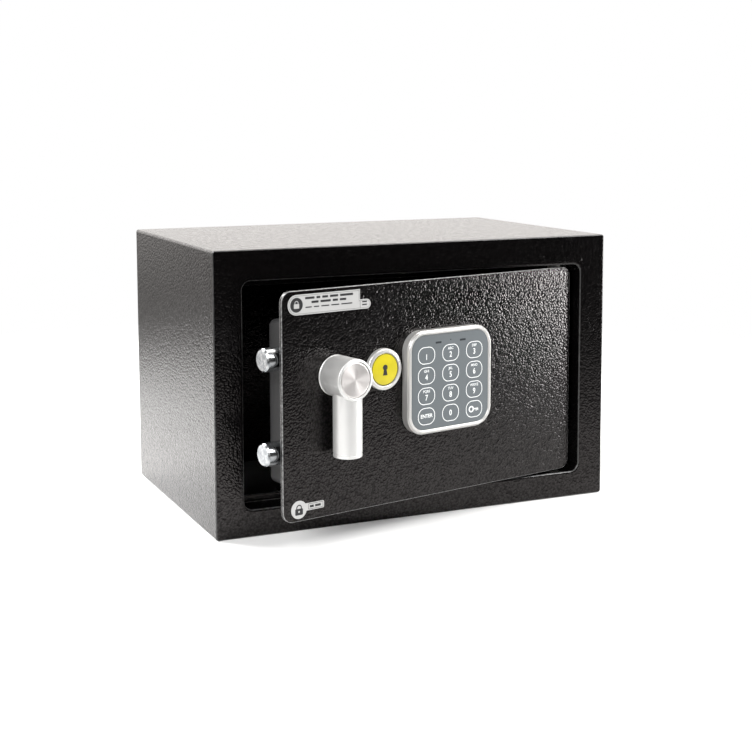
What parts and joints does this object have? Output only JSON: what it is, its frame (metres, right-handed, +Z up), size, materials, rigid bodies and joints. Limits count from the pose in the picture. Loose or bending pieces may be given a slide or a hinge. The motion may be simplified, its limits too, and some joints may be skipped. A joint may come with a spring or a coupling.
{
  "type": "in-room safe",
  "caption": "Small front-opening electronic safe: folded steel cabinet, right-hung steel door standing ajar, lever handle, keypad, covered key override and two round locking bolts.",
  "frame": {"origin": "centre of the cabinet's underside, with the front of the cabinet at y = -0.1 m and its back at y = +0.1 m", "axes": "+Z up, +X to the right as seen from the front, -Y out of the front"},
  "size_m": [0.31, 0.2669, 0.2],
  "materials": {
    "textured_black_enamel": "leather-grained gloss-black enamel",
    "dark_grey_moulding": "fine-grained satin",
    "satin_zinc": "satin, with a spun disc",
    "plated_steel": "bright plated",
    "silver_plastic": "silver lacquer",
    "keypad_grey": "satin film",
    "badge_yellow": "gloss",
    "label_white": "satin label stock",
    "floor_carpet": "needle-felt carpet",
    "nylon": "natural",
    "black_plastic": "satin",
    "coil_tape": "amber tape over the winding",
    "circuit_board": "solder mask",
    "red_button": "gloss",
    "indicator_lens": "smoked",
    "cell_jacket": "printed sleeve"
  },
  "bodies": {
    "cabinet": {"body_shell": "textured_black_enamel", "back_panel": "textured_black_enamel", "front_frame": "textured_black_enamel", "floor_mat": "floor_carpet", "hinge_bush_bottom": "nylon", "hinge_bush_top": "nylon"},
    "door": {"door_plate": "textured_black_enamel", "hinge_bracket_bottom": "plated_steel", "hinge_bracket_top": "plated_steel", "hinge_pin_bottom": "plated_steel", "hinge_pin_top": "plated_steel", "inner_cover": "dark_grey_moulding", "cover_screw_1": "plated_steel", "cover_screw_2": "plated_steel", "cover_screw_3": "plated_steel", "cover_screw_4": "plated_steel", "bolt_guide": "plated_steel", "lock_barrel": "plated_steel", "keypad_housing": "silver_plastic", "keypad_fascia": "keypad_grey", "keypad_board": "circuit_board", "indicator_left": "indicator_lens", "indicator_right": "indicator_lens", "solenoid_frame": "plated_steel", "solenoid_coil": "coil_tape", "plunger_spring": "plated_steel", "battery_holder": "black_plastic", "battery_1": "cell_jacket", "battery_2": "cell_jacket", "battery_3": "cell_jacket", "battery_4": "cell_jacket", "control_cable": "black_plastic", "notice_label": "label_white", "corner_label": "label_white"},
    "handle": {"handle_hub": "satin_zinc", "handle_disc": "satin_zinc", "handle_lever": "satin_zinc", "spindle_crank": "plated_steel"},
    "bolt_work": {"bolt_carriage": "plated_steel", "bolt_lower": "plated_steel", "bolt_upper": "plated_steel"},
    "plunger": {"solenoid_plunger": "plated_steel"},
    "lock_plug": {"lock_plug": "satin_zinc", "lock_cam": "plated_steel"},
    "lock_cover": {"badge_cover": "silver_plastic", "badge_disc": "badge_yellow"},
    "battery_lid": {"battery_lid": "dark_grey_moulding"},
    "reset_button": {"reset_button": "red_button"},
    "button_1": {"button_1": "keypad_grey"},
    "button_2": {"button_2": "keypad_grey"},
    "button_3": {"button_3": "keypad_grey"},
    "button_4": {"button_4": "keypad_grey"},
    "button_5": {"button_5": "keypad_grey"},
    "button_6": {"button_6": "keypad_grey"},
    "button_7": {"button_7": "keypad_grey"},
    "button_8": {"button_8": "keypad_grey"},
    "button_9": {"button_9": "keypad_grey"},
    "button_enter": {"button_enter": "keypad_grey"},
    "button_0": {"button_0": "keypad_grey"},
    "button_program": {"button_program": "keypad_grey"}
  },
  "joints": [
    {"name": "door_hinge", "type": "hinge", "parent": "cabinet", "child": "door", "pos_m": [0.1188, -0.0875, 0.09875], "axis": [0, 0, 1], "range_deg": [-12.2, 90]},
    {"name": "handle_turn", "type": "hinge", "parent": "door", "child": "handle", "pos_m": [-0.07867, -0.15986, 0.117], "axis": [-0.2113, 0.9774, 0], "range_deg": [0, 90]},
    {"name": "bolt_slide", "type": "slide", "parent": "door", "child": "bolt_work", "axis": [0.9774, 0.2113, 0], "range_m": [0, 0.012]},
    {"name": "plunger_slide", "type": "slide", "parent": "door", "child": "plunger", "axis": [0, 0, 1], "range_m": [0, 0.005], "deforming": ["plunger_spring"]},
    {"name": "lock_turn", "type": "hinge", "parent": "door", "child": "lock_plug", "pos_m": [-0.04477, -0.13207, 0.117], "axis": [-0.2113, 0.9774, 0], "range_deg": [0, 90]},
    {"name": "cover_pull", "type": "slide", "parent": "door", "child": "lock_cover", "axis": [0.2113, -0.9774, 0], "range_m": [0, 0.012]},
    {"name": "battery_lid_pull", "type": "slide", "parent": "door", "child": "battery_lid", "axis": [-0.2113, 0.9774, 0], "range_m": [0, 0.012]},
    {"name": "reset_press", "type": "slide", "parent": "door", "child": "reset_button", "axis": [0.2113, -0.9774, 0], "range_m": [0, 0.0008], "stiffness_N_per_m": 300},
    {"name": "press_1", "type": "slide", "parent": "door", "child": "button_1", "axis": [-0.2113, 0.9774, 0], "range_m": [0, 0.0006], "stiffness_N_per_m": 500},
    {"name": "press_2", "type": "slide", "parent": "door", "child": "button_2", "axis": [-0.2113, 0.9774, 0], "range_m": [0, 0.0006], "stiffness_N_per_m": 500},
    {"name": "press_3", "type": "slide", "parent": "door", "child": "button_3", "axis": [-0.2113, 0.9774, 0], "range_m": [0, 0.0006], "stiffness_N_per_m": 500},
    {"name": "press_4", "type": "slide", "parent": "door", "child": "button_4", "axis": [-0.2113, 0.9774, 0], "range_m": [0, 0.0006], "stiffness_N_per_m": 500},
    {"name": "press_5", "type": "slide", "parent": "door", "child": "button_5", "axis": [-0.2113, 0.9774, 0], "range_m": [0, 0.0006], "stiffness_N_per_m": 500},
    {"name": "press_6", "type": "slide", "parent": "door", "child": "button_6", "axis": [-0.2113, 0.9774, 0], "range_m": [0, 0.0006], "stiffness_N_per_m": 500},
    {"name": "press_7", "type": "slide", "parent": "door", "child": "button_7", "axis": [-0.2113, 0.9774, 0], "range_m": [0, 0.0006], "stiffness_N_per_m": 500},
    {"name": "press_8", "type": "slide", "parent": "door", "child": "button_8", "axis": [-0.2113, 0.9774, 0], "range_m": [0, 0.0006], "stiffness_N_per_m": 500},
    {"name": "press_9", "type": "slide", "parent": "door", "child": "button_9", "axis": [-0.2113, 0.9774, 0], "range_m": [0, 0.0006], "stiffness_N_per_m": 500},
    {"name": "press_enter", "type": "slide", "parent": "door", "child": "button_enter", "axis": [-0.2113, 0.9774, 0], "range_m": [0, 0.0006], "stiffness_N_per_m": 500},
    {"name": "press_0", "type": "slide", "parent": "door", "child": "button_0", "axis": [-0.2113, 0.9774, 0], "range_m": [0, 0.0006], "stiffness_N_per_m": 500},
    {"name": "press_program", "type": "slide", "parent": "door", "child": "button_program", "axis": [-0.2113, 0.9774, 0], "range_m": [0, 0.0006], "stiffness_N_per_m": 500}
  ],
  "couplings": [
    {"joint": "bolt_slide", "follows": "handle_turn", "m_per_rad": 0.0076393}
  ]
}
